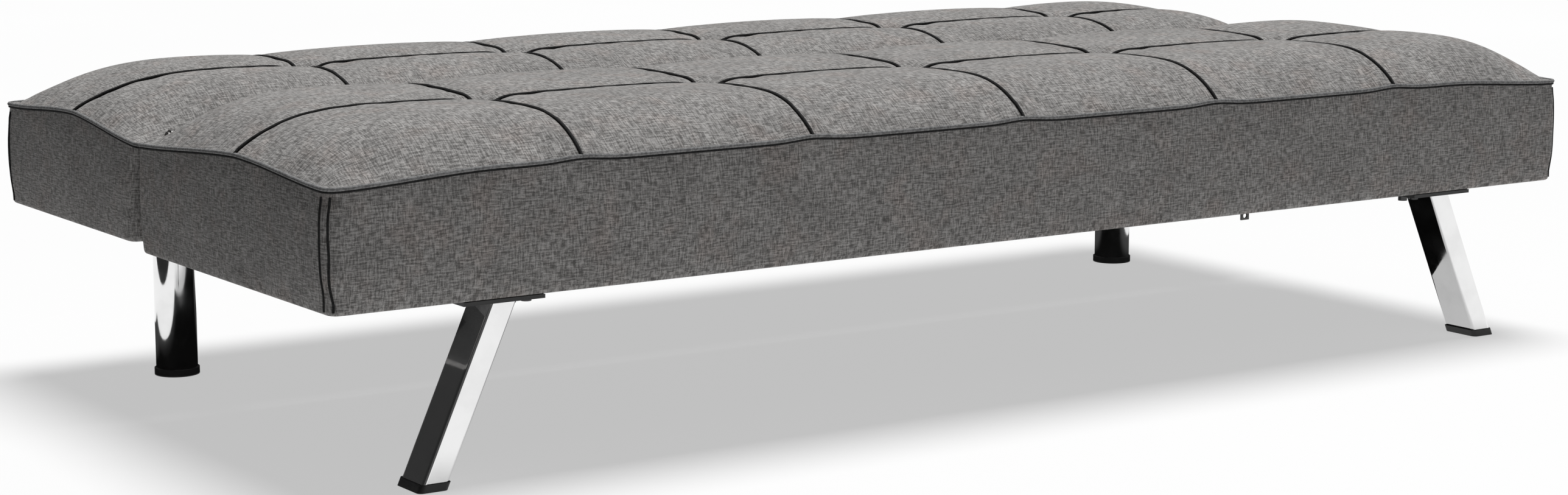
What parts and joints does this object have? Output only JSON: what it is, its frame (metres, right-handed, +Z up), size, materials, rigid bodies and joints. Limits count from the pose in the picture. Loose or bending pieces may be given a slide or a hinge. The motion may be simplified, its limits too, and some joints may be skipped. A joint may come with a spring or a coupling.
{
  "type": "futon sofa bed",
  "caption": "Armless folding sofa bed: a tufted seat on chrome legs and a tufted back that folds from flat to upright on click hinges.",
  "frame": {"origin": "on the floor under the centre of the plan", "axes": "+X along the length to the right end, +Y from the seat's front to the rear, +Z up"},
  "size_m": [1.683, 0.853, 0.361],
  "materials": {
    "linen_fabric": "heathered grey linen weave",
    "piping_fabric": "dark sewn piping",
    "foam": "open-cell foam",
    "dust_fabric": "black non-woven cloth",
    "twine": "twisted twine",
    "timber": "planed softwood",
    "chromed_steel": "polished chrome plating",
    "black_plastic": "moulded, satin",
    "black_steel": "black powder coat",
    "zinc_steel": "zinc plated",
    "black_bolt": "black oxide",
    "rubber": "matt"
  },
  "bodies": {
    "seat_unit": {"seat_cover": "linen_fabric", "seat_piping": "piping_fabric", "seat_foam": "foam", "seat_dust_cover": "dust_fabric", "seat_tuft_ties": "twine", "seat_front_rail": "timber", "seat_middle_rail": "timber", "seat_rear_rail": "timber", "seat_left_end_rail": "timber", "seat_right_end_rail": "timber", "seat_slat_1": "timber", "seat_slat_2": "timber", "seat_slat_3": "timber", "seat_slat_4": "timber", "seat_slat_5": "timber", "front_left_leg": "chromed_steel", "front_right_leg": "chromed_steel", "rear_left_leg": "chromed_steel", "rear_right_leg": "chromed_steel", "front_left_foot_cap": "black_plastic", "front_right_foot_cap": "black_plastic", "rear_left_foot_cap": "black_plastic", "rear_right_foot_cap": "black_plastic", "base_arm_end_plugs": "black_plastic", "left_base_arm": "black_steel", "right_base_arm": "black_steel", "rear_leg_flanges": "black_steel", "front_leg_plates": "black_steel", "left_seat_hinge_plate": "zinc_steel", "right_seat_hinge_plate": "zinc_steel", "pivot_pins": "zinc_steel", "pivot_washers": "zinc_steel", "pawl_pins": "zinc_steel", "pawl_springs": "zinc_steel", "seat_hinge_bolts": "zinc_steel", "base_arm_bolts": "zinc_steel", "rear_leg_screws": "zinc_steel", "underside_eye_tab": "zinc_steel", "front_leg_bolts": "black_bolt", "back_rest_bumpers": "rubber"},
    "back_unit": {"back_cover": "linen_fabric", "back_piping": "piping_fabric", "back_foam": "foam", "back_dust_cover": "dust_fabric", "back_tuft_ties": "twine", "back_front_rail": "timber", "back_rear_rail": "timber", "back_left_end_rail": "timber", "back_right_end_rail": "timber", "back_slat_1": "timber", "back_slat_2": "timber", "back_slat_3": "timber", "back_slat_4": "timber", "back_slat_5": "timber", "left_back_hinge_plate": "zinc_steel", "right_back_hinge_plate": "zinc_steel", "back_hinge_bolts": "zinc_steel"},
    "left_pawl_unit": {"left_pawl": "zinc_steel"},
    "right_pawl_unit": {"right_pawl": "zinc_steel"}
  },
  "joints": [
    {"name": "back_fold", "type": "hinge", "parent": "seat_unit", "child": "back_unit", "pos_m": [0, 0.0417, 0.306], "axis": [1, 0, 0], "range_deg": [0, 78]},
    {"name": "left_pawl_swing", "type": "hinge", "parent": "seat_unit", "child": "left_pawl_unit", "pos_m": [-0.793, 0.00799, 0.27772], "axis": [1, 0, 0], "range_deg": [0, 13], "stiffness_Nm_per_rad": 0.05},
    {"name": "right_pawl_swing", "type": "hinge", "parent": "seat_unit", "child": "right_pawl_unit", "pos_m": [0.793, 0.00799, 0.27772], "axis": [1, 0, 0], "range_deg": [0, 13], "stiffness_Nm_per_rad": 0.05}
  ]
}
